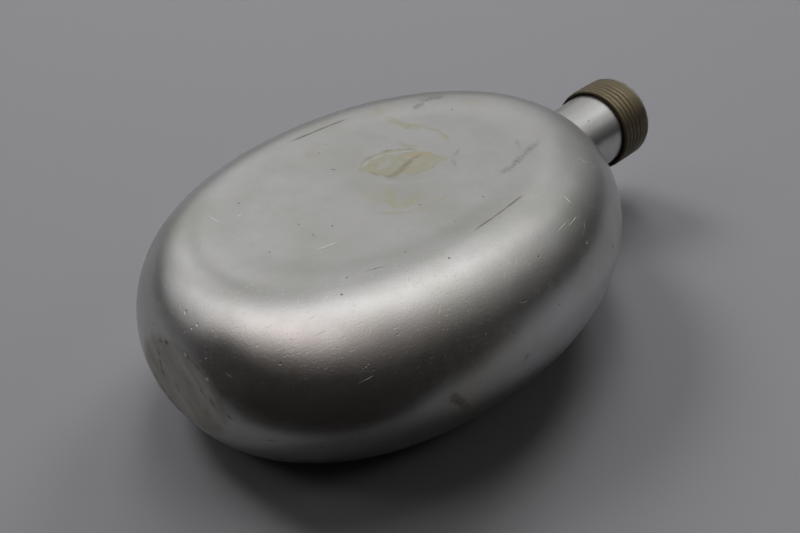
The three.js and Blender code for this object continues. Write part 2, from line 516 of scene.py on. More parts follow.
BRIGHT_SCRATCHES = strokes(
    (0.45, 1.0, (-55.4, -9.8), (-49.4, -11.3)),
    (0.55, 1.0, (25.8, -29.3, 49.9), (27.7, -31.9, 48.1)),
    (0.4, 0.8, (29.2, -32.4, 47.4), (29.6, -33.4, 46.6)),
    (0.5, 1.0, (7.2, -38.2, 50.0), (7.4, -40.6, 49.0)),
    (0.35, 0.8, (0.7, -44.9, 46.6), (5.9, -43.7, 46.6)),
    (0.35, 0.8, (-4.5, -44.8, 47.3), (1.0, -43.9, 47.3)),
    (0.4, 0.9, (-64.3, 22.1, 51.9), (-64.3, 15.3, 51.9)),
    (0.4, 0.8, (-59.9, 15.6, 51.7), (-57.4, 15.8, 51.6)),
    (0.9, 1.0, (4.0, -48.8, 41.7), (4.0, -49.0, 41.6)),
    (0.8, 1.0, (3.0, -50.7, 38.7), (3.1, -50.9, 38.2)),
    (0.8, 1.0, (3.6, -52.4, 34.3), (3.6, -52.4, 33.6)),
)
FOOT_SPECKS = strokes(
    (1.0, 1.0, (-92.4, -3.1, 37.7), (-92.4, -3.2, 37.4)),
    (0.9, 1.0, (-92.3, -10.2, 34.5), (-92.3, -10.9, 34.3)),
    (1.0, 0.5, (-89.6, -15.2, 37.8), (-89.6, -17.0, 37.4)),
    (0.8, 0.7, (-87.5, 1.0, 45.7), (-87.9, 0.9, 45.1)),
    (0.7, 0.6, (-89.2, -2.6, 43.5), (-89.3, -2.7, 43.4)),
    (0.7, 0.6, (-90.0, -1.1, 42.3), (-90.2, -1.1, 41.9)),
    (0.7, 0.6, (-88.1, -3.8, 44.6), (-88.2, -3.9, 44.5)),
)


@dataclass(frozen=True)
class DrawnAluminium:
    """Dulled drawn aluminium with old glue, stains, scuffs, scratches and pits."""

    foot: float
    clean: Colour = (0.56, 0.557, 0.56)
    dull: Colour = (0.48, 0.478, 0.45)
    glue: Colour = (0.415, 0.40, 0.28)
    streak: Colour = (0.31, 0.275, 0.175)
    rust: Colour = (0.56, 0.40, 0.27)
    stain: Colour = (0.47, 0.455, 0.34)
    scuff: Colour = (0.27, 0.275, 0.30)
    rubbed: Colour = (0.33, 0.32, 0.27)
    dirt: Colour = (0.12, 0.105, 0.085)
    fresh: Colour = (0.80, 0.80, 0.79)
    roughness: float = 0.235
    relief: float = 0.00012
    ior: float = 1.45
    wander: Grain = Grain(0.004, 3.0)
    wander_reach: float = 0.0007
    cloud: Grain = Grain(0.03, 4.0, 0.55)
    mottle: Grain = Grain(0.0035, 4.0, 0.6)
    grit: Grain = Grain(0.0007, 3.0, 0.65)
    speckle: Grain = Grain(0.0011, 2.0, 0.7, (0.46, 0.6))
    knocks: Grain = Grain(0.016, 3.0, 0.6, (0.42, 0.66))
    shoulder: tuple[float, float] = (-0.02, 0.035)
    right_side: tuple[float, float] = (-0.034, -0.012)
    foot_edge: tuple[float, float] = (0.0003, 0.0015)
    rubbing: Grain = Grain(0.0034, 4.0, 0.6, (0.3, 0.72))
    rubbing_turn: Point = (math.pi / 4, 0.0, 0.0)
    rubbing_squeeze: Point = (1.0, 1.0, 0.22)
    hairline: Grain = Grain(0.00045, 1.0, 0.5, (0.70, 0.80))
    hairline_turns: tuple[Point, ...] = ((0.3, 0.2, 0.5), (0.1, -0.4, 1.9), (-0.3, 0.5, -0.7))
    hairline_squeeze: Point = (0.055, 1.0, 1.0)
    pits: Flecks = Flecks(0.0045, 0.00034, 0.3)
    nicks: tuple[Flecks, ...] = (
        Flecks(0.0024, 0.00016, 0.5, (0.4, 0.3, 0.9), (0.18, 1.0, 1.0)),
        Flecks(0.0026, 0.00014, 0.5, (1.1, -0.5, 2.2), (0.14, 1.0, 1.0)),
        Flecks(0.0021, 0.00022, 0.55),
    )

    def make(self, piece: Piece) -> None:
        """Give the piece its aluminium, with the marks set on its surface.

        Args:
            piece: The bottle's shell.
        """
        coat = Coat("dulled_aluminium", piece)
        wander = coat.wandering(self.wander, self.wander_reach)
        smeared = partial(coat.marked, where=wander, overlap=Overlap.RUN_TOGETHER)
        uneven = partial(coat.marked, where=wander, overlap=Overlap.KEEP_STRONGEST)
        crisp = partial(coat.marked, where=coat.place, overlap=Overlap.KEEP_STRONGEST)
        cloud = coat.noise(self.cloud)
        mottle = coat.noise(self.mottle)
        speckle = coat.spots(self.speckle)
        patchy = mottle.rise(0.32, 0.62)
        stain = smeared(STAINS, 0.6) * (0.3 + 0.7 * patchy)
        film = smeared(GLUE_FILM, 0.09) * (0.6 + 0.4 * patchy) * (1 - 0.75 * uneven(GLUE_BARE, 0.6))
        streak = smeared(GLUE_STREAK, 0.9).larger(smeared(GLUE_RIM, 0.7) * (0.35 + 0.5 * patchy))
        scuff = smeared(DARK_SCUFFS, 0.8) * (0.4 + 0.6 * speckle)
        line = crisp(DARK_LINES, 0.6)
        spot = smeared(SPOTS, 0.7) * (0.6 + 0.4 * speckle)
        pits = self.pits.mask(coat)
        dirt = line.larger(spot).larger(pits)
        facet, rubbing = self.rubbed_foot(coat)
        knocked = self.knocked(coat)
        nicks = reduce(Value.larger, [flecks.mask(coat) for flecks in self.nicks]) * (0.2 + 0.8 * knocked)
        hairlines = self.hairlines(coat) * (0.5 + 0.5 * knocked)
        bright = crisp(BRIGHT_SCRATCHES, 0.5).larger(uneven(FOOT_SPECKS, 0.5))
        bright = bright.larger(nicks * 0.85).larger(hairlines * 0.5)
        colour = coat.layered(
            self.clean,
            (cloud.rise(0.36, 0.68), self.dull),
            (mottle.rise(0.48, 0.8) * 0.4, self.dull),
            (stain * 0.95, self.stain),
            (film * 0.8, self.glue),
            (streak * 0.7, self.streak),
            (smeared(RUST_TINT, 0.8) * 0.45, self.rust),
            (crisp(PALE_LINES, 0.6) * 0.75, self.clean),
            (scuff * 0.85, self.scuff),
            (facet * rubbing * 0.2, self.fresh),
            (facet * (0.9 - 0.4 * rubbing), self.rubbed),
            (dirt * 0.8, self.dirt),
            (bright * 0.75, self.fresh),
        )
        coated = film.larger(stain * 0.5).larger(streak * 0.6)
        roughness = self.roughness + 0.09 * mottle + 0.06 * cloud + 0.1 * coated + 0.2 * dirt
        metallic = 1 - 0.7 * dirt - 0.25 * coated
        height = 0.22 * coat.noise(self.grit) + 0.14 * mottle + 0.1 * film + 0.12 * facet * rubbing
        height = height - 0.6 * bright - 0.8 * pits - 0.5 * line - 0.3 * spot
        coat.finish(colour, roughness + 0.16 * facet, metallic, height, self.relief, self.ior)

    def rubbed_foot(self, coat: Coat) -> tuple[Value, Value]:
        """Work out how standing has rubbed the foot.

        Args:
            coat: The material's nodes.

        Returns:
            The mask of the flat foot, and the slanting streaks rubbed into it.
        """
        start, end = (self.foot + edge for edge in self.foot_edge)
        facet = 1 - coat.parts(coat.place)[0].rise(start, end)
        return facet, coat.spots(self.rubbing, coat.stretched(self.rubbing_turn, self.rubbing_squeeze))

    def knocked(self, coat: Coat) -> Value:
        """Work out how knocked about the metal is: most on the right of the shoulder.

        Args:
            coat: The material's nodes.

        Returns:
            0 where the metal is sound and 1 where it is most knocked about.
        """
        along, side, _ = coat.parts(coat.place)
        on_shoulder = along.rise(*self.shoulder) * (1 - side.rise(*self.right_side))
        return on_shoulder.larger(0.6 * coat.spots(self.knocks))

    def hairlines(self, coat: Coat) -> Value:
        """Return 1 in fine hairline scratches, which go in a few directions, and 0 outside."""
        places = [coat.stretched(turn, self.hairline_squeeze) for turn in self.hairline_turns]
        return reduce(Value.larger, [coat.spots(self.hairline, where) for where in places])


@dataclass(frozen=True)
class ThreadedBrass:
    """Brass whose helical grooves hold tarnish and whose crests and end are worn, with painted shade in a
    band next to its join and, where asked, on its side below the axis.
    """

    name: str
    crest: Colour
    groove: Colour
    worn: Colour
    thread: Thread
    thread_end: float
    axis_height: float
    worn_from: float
    worn_to: float
    worn_radius: float
    join_shade_from: float
    join_shade_to: float
    # Colour of the painted shade: the band next to the join, and the side below the axis.
    painted_shade: Colour = (0.05, 0.038, 0.024)
    # How strongly the side below the axis is darkened: painted shade.
    low_side_shade: float = 0.0
    low_side: tuple[float, float] = (-0.002, 0.009)
    thread_fade: float = 0.001
    roughness: float = 0.36
    relief: float = 0.00006
    ior: float = 1.45
    mottle: Grain = Grain(0.0025, 4.0, 0.6)
    turning: Grain = Grain(0.0004, 3.0, 0.6)
    turning_squeeze: Point = (1.0, 0.15, 0.15)

    def make(self, piece: Piece) -> None:
        """Give the piece its brass, with its grooves along the piece's own thread.

        Args:
            piece: The ring or the cap.
        """
        coat = Coat(self.name, piece)
        along, side, height = coat.parts(coat.place)
        off_axis = height - self.axis_height
        turn = (along - self.thread.start) * (2 * math.pi / self.thread.pitch)
        wave = coat.math("COSINE", turn - coat.math("ARCTAN2", off_axis, side))
        threaded = 1 - along.rise(self.thread_end - self.thread_fade, self.thread_end)
        mottle = coat.noise(self.mottle)
        turned = coat.noise(self.turning, coat.stretched((0.0, 0.0, 0.0), self.turning_squeeze))
        hollow = (0.5 - 0.5 * wave).rise(0.45, 1.0) * threaded * (0.4 + 0.6 * mottle.rise(0.3, 0.65))
        crested = (0.5 + 0.5 * wave).rise(0.7, 1.0) * threaded * mottle.rise(0.5, 0.75)
        from_axis = coat.math("SQRT", side * side + off_axis * off_axis)
        at_rim = 0.25 + 0.75 * from_axis.rise(self.worn_radius * 0.8, self.worn_radius)
        worn = along.rise(self.worn_from, self.worn_to) * at_rim * (0.55 + 0.45 * mottle.rise(0.3, 0.6))
        # Painted shade in a band next to the start, where the piece meets the part before it.
        join_shade = 1 - along.rise(self.join_shade_from, self.join_shade_to)
        colour = coat.layered(
            self.crest,
            (hollow * 0.8 + 0.2 * mottle.rise(0.45, 0.75), self.groove),
            (worn, self.worn),
            (crested * 0.35, self.worn),
            # Painted shade in the band next to the join.
            (join_shade * 0.9, self.painted_shade),
            # Painted shade on the side below the axis.
            ((1 - off_axis.rise(*self.low_side)) * self.low_side_shade, self.painted_shade),
        )
        roughness = self.roughness + 0.12 * hollow + 0.12 * mottle - 0.06 * worn + 0.15 * join_shade
        metallic = 1 - 0.25 * hollow - 0.3 * join_shade
        coat.finish(colour, roughness, metallic, 0.5 * turned + 0.5 * mottle, self.relief, self.ior)


@dataclass(frozen=True)
class SealRubber:
    """Matt black rubber, greyed by dust."""

    fresh: Colour = (0.028, 0.026, 0.024)
    dusty: Colour = (0.085, 0.08, 0.072)
    roughness: float = 0.62
    relief: float = 0.00005
    ior: float = 1.52
    dust: Grain = Grain(0.004, 4.0, 0.6, (0.35, 0.75))
    grit: Grain = Grain(0.0003, 2.0, 0.6)

    def make(self, piece: Piece) -> None:
        """Give the piece its rubber.

        Args:
            piece: The sealing disc.
        """
        coat = Coat("seal_rubber", piece)
        dust = coat.spots(self.dust)
        colour = coat.tint(dust, self.fresh, self.dusty)
        grit = coat.noise(self.grit)
        coat.finish(colour, self.roughness + 0.2 * dust, 0.0, grit, self.relief, self.ior)


@dataclass(frozen=True)
class StagePaint:
    """Plain matt paint of the stage, pale grey unless told otherwise."""

    colour: Colour = (0.36, 0.356, 0.370)
    roughness: float = 0.8
    specular: float = 0.08

    def make(self, piece: Piece) -> None:
        """Give the piece its paint.

        Args:
            piece: A piece of the stage.
        """
        coat = Coat(f"{piece.name}_paint", piece)
        sockets = {
            "Base Color": opaque(self.colour),
            "Roughness": self.roughness,
            "Specular IOR Level": self.specular,
        }
        shader = coat.add("ShaderNodeBsdfPrincipled", {}, sockets)
        coat.add("ShaderNodeOutputMaterial", {}, {"Surface": shader.outputs[0]})


@dataclass(frozen=True)
class Profile:
    """Stations of a piece about the neck's axis: a place along it and the radius at each angle."""

    segments: int
    axis_height: float
    places: list[np.ndarray] = field(default_factory=list)
    radii: list[np.ndarray] = field(default_factory=list)

    @property
    def angles(self) -> np.ndarray:
        """The angles of one ring's points."""
        return np.arange(self.segments) * 2 * math.pi / self.segments

    def ring(self, place: Any, radius: Any) -> None:
        """Add one ring, whose place and radius are numbers or one number for each angle."""
        self.places.append(np.broadcast_to(place, self.segments))
        self.radii.append(np.broadcast_to(radius, self.segments))

    def rings(self, places: np.ndarray, radius: Callable[[float, np.ndarray], Any] | float) -> None:
        """Add a ring at each place, with one radius or one that depends on place and angle."""
        for place in places:
            self.ring(place, radius(place, self.angles) if callable(radius) else radius)

    def discs(self, place: float, radii: np.ndarray) -> None:
        """Add a ring of each radius at one place."""
        for radius in radii:
            self.ring(place, radius)

    def round(
        self, place: float, radius: float, rounding: float, start: float, end: float, steps: int
    ) -> None:
        """Add rings round a circle about a centre, from one angle to another in degrees."""
        for turn in np.radians(np.linspace(start, end, steps + 1)):
            self.ring(place + rounding * math.sin(turn), radius + rounding * math.cos(turn))

    def points(self) -> np.ndarray:
        """Work out the points of all rings.

        Returns:
            The points, by ring, angle and axis.
        """
        radii = np.array(self.radii)
        side = radii * np.cos(self.angles)
        height = radii * np.sin(self.angles) + self.axis_height
        return np.stack([np.array(self.places), side, height], axis=-1)


def skin(name: str, points: np.ndarray, closes_on_itself: bool = False) -> Piece:
    """Skin rings of points into one closed smooth mesh.

    Args:
        name: The name of the piece.
        points: Points by ring, angle and axis.
        closes_on_itself: Whether the last ring joins the first. Otherwise the first and the last
            ring are each drawn together into one point on the axis.

    Returns:
        The piece, linked to the scene.
    """
    segments = points.shape[1]
    inner = points if closes_on_itself else points[1:-1]
    index = np.arange(len(inner) * segments).reshape(len(inner), segments)
    beside = np.roll(index, -1, axis=1)
    following = np.roll(index, -1, axis=0) if closes_on_itself else index[1:]
    rows = len(following)
    corners_of_faces = [index[:rows], beside[:rows], np.roll(following, -1, axis=1), following]
    faces = np.stack(corners_of_faces, axis=-1).reshape(-1, 4).tolist()
    corners = inner.reshape(-1, 3).tolist()
    if not closes_on_itself:
        first, last = len(corners), len(corners) + 1
        corners += [points[0].mean(axis=0).tolist(), points[-1].mean(axis=0).tolist()]
        faces += [[first, int(b), int(a)] for a, b in zip(index[0], beside[0])]
        faces += [[int(a), int(b), last] for a, b in zip(index[-1], beside[-1])]
    mesh = bpy.data.meshes.new(name)
    mesh.from_pydata(corners, [], faces)
    mesh.shade_smooth()
    piece = bpy.data.objects.new(name, mesh)
    bpy.context.scene.collection.objects.link(piece)
    return piece


def push(piece: Piece, amount: Callable[[np.ndarray, np.ndarray], np.ndarray]) -> None:
    """Move a mesh's corners along their normals.

    Args:
        piece: The piece to reshape.
        amount: Gives the distance for corners and their normals, positive outwards.
    """
    mesh = piece.data
    corners = np.zeros(len(mesh.vertices) * 3)
    normals = np.zeros(len(mesh.vertices) * 3)
    mesh.vertices.foreach_get("co", corners)
    mesh.vertex_normals.foreach_get("vector", normals)
    corners, normals = corners.reshape(-1, 3), normals.reshape(-1, 3)
    corners = corners + normals * amount(corners, normals)[:, None]
    mesh.vertices.foreach_set("co", corners.ravel())
    mesh.update()


def unevenness(corners: np.ndarray, size: float) -> np.ndarray:
    """Return smooth noise from about -1 to 1 at each corner, with swells of about a size."""
    return np.array([noise.noise(Vector(corner) / size) for corner in corners])


@dataclass(frozen=True)
class Dent:
    """A shallow dent in the metal: its place, how far it spreads and how deep it is."""

    place: Point
    spread: float
    depth: float


@dataclass
class Part(ABC):
    """A piece that stands for one node of the frame."""

    name: str
    node: str
    body: Body
    finish: Finish
    axis_height: float

    @abstractmethod
    def build(self) -> Piece:
        """Return the piece's mesh object, in place."""

    @abstractmethod
    def dress(self, piece: Piece) -> None:
        """Give the piece its material."""

    def make(self) -> Piece:
        """Build and dress the piece, and put it on its body in place of its node.

        Returns:
            The piece.
        """
        piece = self.build()
        self.dress(piece)
        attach(piece, self.body.value)
        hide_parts(self.node)
        LOG.info("%s: %d faces on body %s", piece.name, len(piece.data.polygons), self.body.value)
        return piece


@dataclass
class BottleShell(Part):
    """The hollow flask: body, neck, the seat of the threaded ring and the lip rolled over it."""

    foot: float
    lip_end: float
    seat_start: float
    ring_end: float
    width: float
    thickness: float
    body_length: float = 0.1525
    widest_from_foot: float = 0.0755
    foot_depth: float = 0.0016
    foot_rounding: float = 0.0008
    wall: float = 0.001
    foot_end_power: float = 2.15
    neck_end_power: float = 2.0
    face_length: float = 0.108
    face_width: float = 0.066
    face_from_foot: float = 0.0725
    dish: float = 0.0005
    dish_edge: float = 0.007
    neck_radius: float = 0.012
    neck_flare: float = 0.0005
    neck_wall: float = 0.0012
    shoulder_blend: float = 0.006
    seat_radius: float = 0.0112
    seat_step: float = 0.0006
    lip_radius: float = 0.01235
    lip_rounding: float = 0.0005
    swells: tuple[tuple[float, float], ...] = ((0.022, 0.00009), (0.007, 0.00003))
    beaten_size: float = 0.005
    beaten_depth: float = 0.00012
    beaten_reach: float = 0.004
    beaten_from: float = 0.3
    body_edge: float = 1.6
    rest_slope: tuple[float, float] = (0.5, 0.9)
    dents: tuple[Dent, ...] = (
        Dent((-0.0755, 0.006, 0.0495), 0.0065, 0.00022),
        Dent((-0.088, -0.014, 0.038), 0.005, 0.00025),
        Dent((-0.050, -0.0505, 0.028), 0.008, 0.0003),
        Dent((0.004, -0.0535, 0.030), 0.006, 0.0002),
        Dent((-0.020, 0.0545, 0.034), 0.009, 0.0003),
        Dent((0.038, 0.036, 0.040), 0.007, 0.00025),
        Dent((-0.070, 0.035, 0.018), 0.008, 0.0003),
        Dent((0.030, -0.038, 0.015), 0.006, 0.0002),
    )
    segments: int = 384
    outside_stations: tuple[int, int] = (130, 150)
    lining_stations: tuple[int, int] = (40, 50)
    neck_stations: int = 24
    seat_stations: int = 6
    lip_steps: int = 6
    solve_steps: int = 40
    sharp_degrees: float = 50.0

    def half_width(self, along: float, height: np.ndarray, inset: float) -> np.ndarray:
        """Work out the body's half width.

        Args:
            along: The place, measured from the foot.
            height: The heights over or under the axis.
            inset: How far inside the outer surface.

        Returns:
            The half width at each height.
        """
        bulge = np.sqrt(np.clip(1 - (height / (self.thickness / 2 - inset)) ** 2, 0, None))
        middle = mix(self.face_from_foot, self.widest_from_foot, bulge)
        on_foot_side = along < middle
        foot_reach = self.widest_from_foot + self.foot_depth
        neck_reach = self.body_length - self.widest_from_foot
        reach = mix(self.face_length / 2, np.where(on_foot_side, foot_reach, neck_reach) - inset, bulge)
        breadth = mix(self.face_width / 2, self.width / 2 - inset, bulge)
        power = np.where(on_foot_side, self.foot_end_power, self.neck_end_power)
        away = np.clip(np.abs(along - middle) / reach, 0, 1)
        return breadth * (1 - away**power) ** (1 / power)

    def body_radius(self, along: float, angles: np.ndarray, inset: float) -> np.ndarray:
        """Find the distance from the axis to the body's surface, by halving.

        Args:
            along: The place, measured from the foot.
            angles: The angles about the axis.
            inset: How far inside the outer surface.

        Returns:
            The distance at each angle.
        """
        inside = np.zeros_like(angles)
        outside = np.full_like(angles, self.width)
        for _ in range(self.solve_steps):
            middle = (inside + outside) / 2
            height = middle * np.abs(np.sin(angles))
            narrow = middle * np.abs(np.cos(angles)) < self.half_width(along, height, inset)
            fits = (height < self.thickness / 2 - inset) & narrow
            inside = np.where(fits, middle, inside)
            outside = np.where(fits, outside, middle)
        return inside

    def stations(self, start: float, end: float, counts: tuple[int, int]) -> np.ndarray:
        """Space places along the body, closer together towards both ends.

        Args:
            start: The first place, measured from the foot.
            end: The last place.
            counts: How many steps there are before and after the widest place.

        Returns:
            The places.
        """
        widest = self.widest_from_foot
        foot_turns = np.linspace(0, math.pi / 2, counts[0], endpoint=False)
        neck_turns = np.linspace(0, math.pi / 2, counts[1] + 1)
        foot_side = widest - (widest - start) * np.cos(foot_turns)
        neck_side = widest + (end - widest) * np.sin(neck_turns)
        return np.concatenate([foot_side, neck_side])

    def add_skin(self, profile: Profile, places: np.ndarray, inset: float, neck: float) -> None:
        """Add the body's rings, which run into the neck.

        Args:
            profile: The profile that gets them.
            places: Their places, measured from the foot.
            inset: How far inside the outer surface they lie.
            neck: The neck's radius.
        """
        for along in places:
            radius = self.body_radius(along, profile.angles, inset)
            if along > self.widest_from_foot:
                radius = blended(radius, neck, self.shoulder_blend)
            profile.ring(self.foot + blended(along, inset, self.foot_rounding), radius)

    def lowered(self, points: np.ndarray) -> np.ndarray:
        """Sink the upper flat face a little.

        Args:
            points: Points by ring, angle and axis.

        Returns:
            The points, of which those on the face are lowered.
        """
        along = (points[..., 0] - self.foot - self.face_from_foot) / (self.face_length / 2)
        side = points[..., 1] / (self.face_width / 2)
        from_edge = (1 - np.hypot(along, side)) * self.face_width / 2
        sunk = self.dish * smooth_step(from_edge, 0, self.dish_edge)
        lowered = points.copy()
        lowered[..., 2] -= np.where(points[..., 2] > self.axis_height, sunk, 0)
        return lowered

    def build(self) -> Piece:
        """Skin the shell from the outside, round the lip and back along the lining.

        Returns:
            The shell.
        """
        neck_start = self.foot + self.body_length
        neck_length = self.seat_start - neck_start
        neck_bore = self.neck_radius - self.neck_wall
        seat_bore = self.seat_radius - self.neck_wall
        lip_start = self.ring_end + TOUCH_GAP
        lip_middle = self.lip_end - self.lip_rounding
        lip_top = self.lip_radius - self.lip_rounding
        lip_bottom = seat_bore + self.lip_rounding
        profile = Profile(self.segments, self.axis_height)
        outside = self.stations(-self.foot_depth, self.body_length, self.outside_stations)
        self.add_skin(profile, outside, 0.0, self.neck_radius)
        for share in np.linspace(0, 1, self.neck_stations)[1:]:
            radius = self.neck_radius + self.neck_flare * share**2
            profile.ring(neck_start + neck_length * share, radius)
        profile.ring(self.seat_start, self.seat_radius)
        seat = np.linspace(self.seat_start, lip_start, self.seat_stations)
        profile.rings(seat[1:], self.seat_radius)
        profile.ring(lip_start, self.lip_radius)
        profile.round(lip_middle, lip_top, self.lip_rounding, 0, 90, self.lip_steps)
        profile.round(lip_middle, lip_bottom, self.lip_rounding, 90, 180, self.lip_steps)
        profile.ring(self.seat_start + self.seat_step, seat_bore)
        profile.ring(self.seat_start - self.seat_step, neck_bore)
        lining_ends = (self.wall - self.foot_depth, self.body_length - self.wall)
        lining = self.stations(*lining_ends, self.lining_stations)
        self.add_skin(profile, lining[::-1], self.wall, neck_bore)
        piece = skin(self.name, self.lowered(profile.points()))
        push(piece, self.wear)
        piece.data.set_sharp_from_angle(angle=math.radians(self.sharp_degrees))
        return piece

    def wear(self, corners: np.ndarray, normals: np.ndarray) -> np.ndarray:
        """Work out how far each corner has moved with use: swells, dents and a beaten foot.

        Args:
            corners: The mesh's corners.
            normals: Their normals.

        Returns:
            The distances along the normals.
        """
        from_axis = np.hypot(corners[:, 1], corners[:, 2] - self.axis_height)
        on_body = smooth_step(from_axis, self.neck_radius, self.neck_radius * self.body_edge)
        off_foot = smooth_step(corners[:, 0], self.foot, self.foot + self.beaten_reach)
        off_rest = 1 - smooth_step(-normals[:, 2], *self.rest_slope)
        swell = sum(depth * unevenness(corners, size) for size, depth in self.swells)
        hollows = np.clip(unevenness(corners, self.beaten_size) - self.beaten_from, -1, 0)
        beaten = self.beaten_depth * hollows * (1 - off_foot)
        amount = swell * on_body * off_rest * off_foot + beaten
        for dent in self.dents:
            distance = np.linalg.norm(corners - np.array(dent.place), axis=1)
            amount -= dent.depth * np.exp(-((distance / dent.spread) ** 2)) * off_rest
        return amount

    def dress(self, piece: Piece) -> None:
        """Give the shell its worn aluminium."""
        DrawnAluminium(foot=self.foot).make(piece)


@dataclass(frozen=True)
class Thread:
    """The right-hand thread that the ring and the cap share."""

    start: float
    pitch: float = 0.002
    crest_share: float = 0.62

    def wave(self, place: float, angles: np.ndarray) -> np.ndarray:
        """Return the thread's height from 0 in its root to 1 on its crest."""
        turn = 2 * math.pi * (place - self.start) / self.pitch
        return 0.5 + 0.5 * np.cos(turn - angles)

    def ribbed(self, place: float, angles: np.ndarray) -> np.ndarray:
        """Return the height of ribs whose crests are broader than their grooves."""
        return self.wave(place, angles) ** self.crest_share


@dataclass
class ThreadedRing(Part):
    """The brass ring on the neck, with the male thread."""

    start: float
    end: float
    thread: Thread
    bore: float = 0.0115
    thread_radius: float = 0.013
    thread_depth: float = 0.00065
    fade: float = 0.001
    # Where the painted shade next to the neck ends.
    join_shade_from: float = 0.0006
    join_shade_to: float = 0.0022
    segments: int = 192
    thread_stations: int = 130
    bore_stations: int = 8
    sharp_degrees: float = 50.0

    def threaded(self, place: float, angles: np.ndarray) -> np.ndarray:
        """Work out the threaded radius, which runs out into the root at both ends.

        Args:
            place: The place along the neck.
            angles: The angles about the axis.

        Returns:
            The radius at each angle.
        """
        faded = smooth_step(place, self.start, self.start + self.fade)
        faded = faded * (1 - smooth_step(place, self.end - self.fade, self.end))
        root = self.thread_radius - self.thread_depth
        return root + self.thread_depth * self.thread.wave(place, angles) * faded

    def build(self) -> Piece:
        """Skin the ring, whose profile closes on itself.

        Returns:
            The ring.
        """
        profile = Profile(self.segments, self.axis_height)
        profile.rings(np.linspace(self.start, self.end, self.thread_stations), self.threaded)
        profile.rings(np.linspace(self.end, self.start, self.bore_stations), self.bore)
        piece = skin(self.name, profile.points(), closes_on_itself=True)
        piece.data.set_sharp_from_angle(angle=math.radians(self.sharp_degrees))
        return piece

    def dress(self, piece: Piece) -> None:
        """Give the ring its brass, with painted shade next to the neck."""
        ThreadedBrass(
            name="ring_brass",
            crest=(0.50, 0.38, 0.20),
            groove=(0.22, 0.15, 0.075),
            worn=(0.62, 0.50, 0.30),
            thread=self.thread,
            thread_end=self.end,
            axis_height=self.axis_height,
            worn_from=self.end - self.fade,
            worn_to=self.end,
            worn_radius=self.bore,
            join_shade_from=self.start + self.join_shade_from,
            join_shade_to=self.start + self.join_shade_to,
            roughness=0.32,
        ).make(piece)


